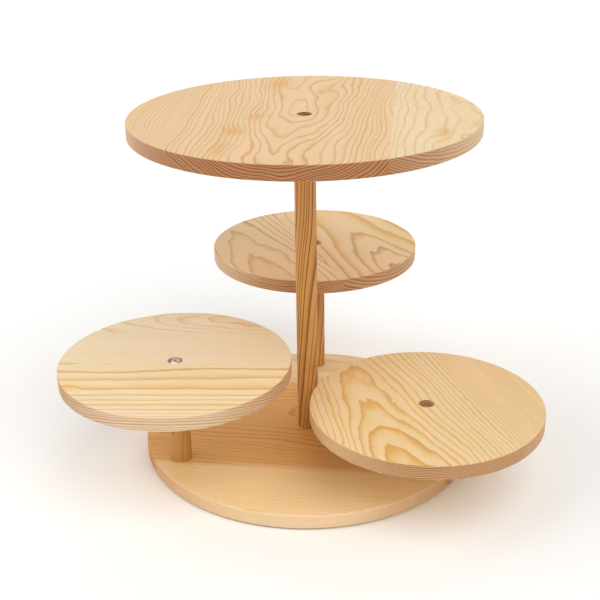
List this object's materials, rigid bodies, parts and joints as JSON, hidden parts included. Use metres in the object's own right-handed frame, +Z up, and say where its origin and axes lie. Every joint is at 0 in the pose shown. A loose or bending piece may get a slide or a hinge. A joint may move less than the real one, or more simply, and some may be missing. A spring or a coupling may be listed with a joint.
{
  "type": "turntable display stand",
  "caption": "Solid pine display stand: round base, tall centre post and three stepped posts, each carrying a round turntable that turns freely on a bolted pivot.",
  "frame": {"origin": "middle of the underside of the centre felt pad, on the centre post's axis, where the stand meets the table", "axes": "+Z up along the posts; +Y towards the highest of the three short posts, at the back; +X to the right seen from the front, so the left turntable is at -X and the right one at +X"},
  "size_m": [0.5615, 0.5341, 0.4192],
  "materials": {
    "pine_board": "sanded edge-glued pine with a clear satin finish, pale earlywood and honey-brown latewood lines",
    "pine_base": "sanded edge-glued pine with a clear satin finish, soft straight grain",
    "pine_post": "turned pine dowel with a clear satin finish, strong reddish-brown grain stripes along it",
    "zinc_steel": "bright zinc-plated steel",
    "brass": "plain machined brass",
    "nylon": "natural off-white nylon",
    "felt": "pressed brown wool felt"
  },
  "bodies": {
    "stand": {"base": "pine_base", "top_felt_pad": "felt", "top_base_bolt": "zinc_steel", "top_base_washer": "zinc_steel", "top_lower_insert": "brass", "top_post": "pine_post", "top_upper_insert": "brass", "top_thrust_washer": "nylon", "top_pivot_sleeve": "zinc_steel", "top_pivot_washer": "zinc_steel", "top_pivot_bolt": "zinc_steel", "back_felt_pad": "felt", "back_base_bolt": "zinc_steel", "back_base_washer": "zinc_steel", "back_lower_insert": "brass", "back_post": "pine_post", "back_upper_insert": "brass", "back_thrust_washer": "nylon", "back_pivot_sleeve": "zinc_steel", "back_pivot_washer": "zinc_steel", "back_pivot_bolt": "zinc_steel", "left_felt_pad": "felt", "left_base_bolt": "zinc_steel", "left_base_washer": "zinc_steel", "left_lower_insert": "brass", "left_post": "pine_post", "left_upper_insert": "brass", "left_thrust_washer": "nylon", "left_pivot_sleeve": "zinc_steel", "left_pivot_washer": "zinc_steel", "left_pivot_bolt": "zinc_steel", "right_felt_pad": "felt", "right_base_bolt": "zinc_steel", "right_base_washer": "zinc_steel", "right_lower_insert": "brass", "right_post": "pine_post", "right_upper_insert": "brass", "right_thrust_washer": "nylon", "right_pivot_sleeve": "zinc_steel", "right_pivot_washer": "zinc_steel", "right_pivot_bolt": "zinc_steel"},
    "top_turntable": {"top_turntable": "pine_board"},
    "back_turntable": {"back_turntable": "pine_board"},
    "left_turntable": {"left_turntable": "pine_board"},
    "right_turntable": {"right_turntable": "pine_board"}
  },
  "joints": [
    {"name": "top_turn", "type": "hinge", "parent": "stand", "child": "top_turntable", "pos_m": [0, 0, 0.4022], "axis": [0, 0, 1], "continuous": true},
    {"name": "back_turn", "type": "hinge", "parent": "stand", "child": "back_turntable", "pos_m": [0, 0.171, 0.1832], "axis": [0, 0, 1], "continuous": true},
    {"name": "left_turn", "type": "hinge", "parent": "stand", "child": "left_turntable", "pos_m": [-0.14809, -0.0855, 0.1322], "axis": [0, 0, 1], "continuous": true},
    {"name": "right_turn", "type": "hinge", "parent": "stand", "child": "right_turntable", "pos_m": [0.14341, -0.09313, 0.0862], "axis": [0, 0, 1], "continuous": true}
  ]
}
